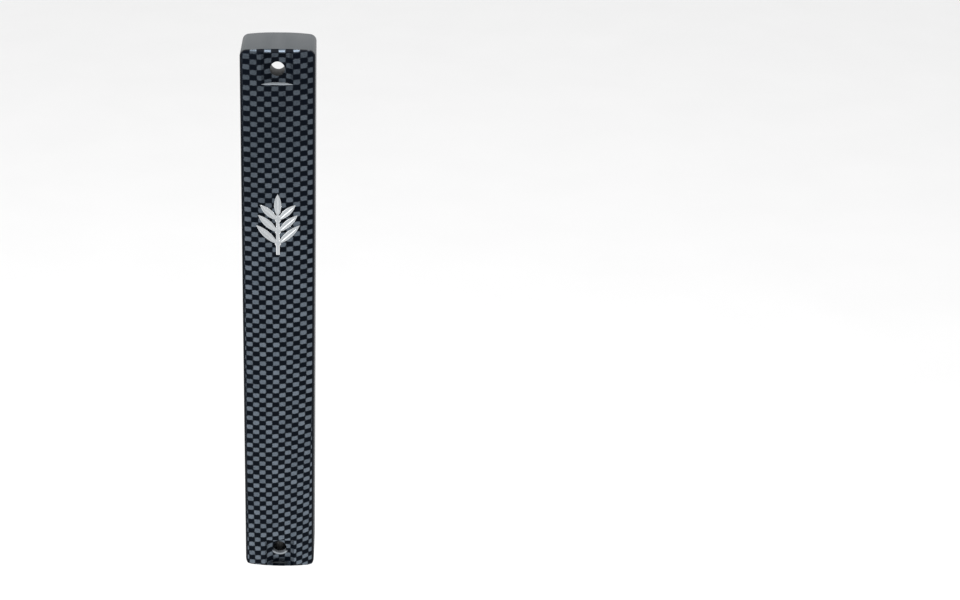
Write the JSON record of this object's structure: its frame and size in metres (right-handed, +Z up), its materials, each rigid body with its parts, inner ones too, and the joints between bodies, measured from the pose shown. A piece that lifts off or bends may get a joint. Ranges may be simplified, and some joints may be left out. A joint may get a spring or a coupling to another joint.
{
  "type": "mezuzah case",
  "caption": "Slim domed wall case with a chequered front plate, raised sprig emblem, screw holes in scooped recesses, and a sliding back cover over a rolled scroll.",
  "frame": {"origin": "middle of the back face, midway between the two screw holes", "axes": "+Z up along the case, +Y into the doorpost, the domed front faces -Y, +X to the right seen from the front"},
  "size_m": [0.019, 0.0168, 0.15],
  "materials": {
    "grey_plastic": "satin moulded",
    "chequered_plastic": "glossy woven-look check",
    "silvered_metal": "satin with bright edges",
    "dark_plastic": "fine texture",
    "parchment": "matte skin",
    "clear_film": "clear thin film"
  },
  "bodies": {
    "case": {"housing": "grey_plastic", "front_plate": "chequered_plastic", "emblem": "silvered_metal"},
    "cover": {"rear_cover": "dark_plastic"},
    "scroll": {"parchment_scroll": "parchment", "scroll_sleeve": "clear_film"}
  },
  "joints": [
    {"name": "cover_slide", "type": "slide", "parent": "case", "child": "cover", "axis": [0, 0, -1], "range_m": [0, 0.14]},
    {"name": "scroll_slide", "type": "slide", "parent": "case", "child": "scroll", "axis": [0, 0, 1], "range_m": [0, 0.0047]}
  ]
}
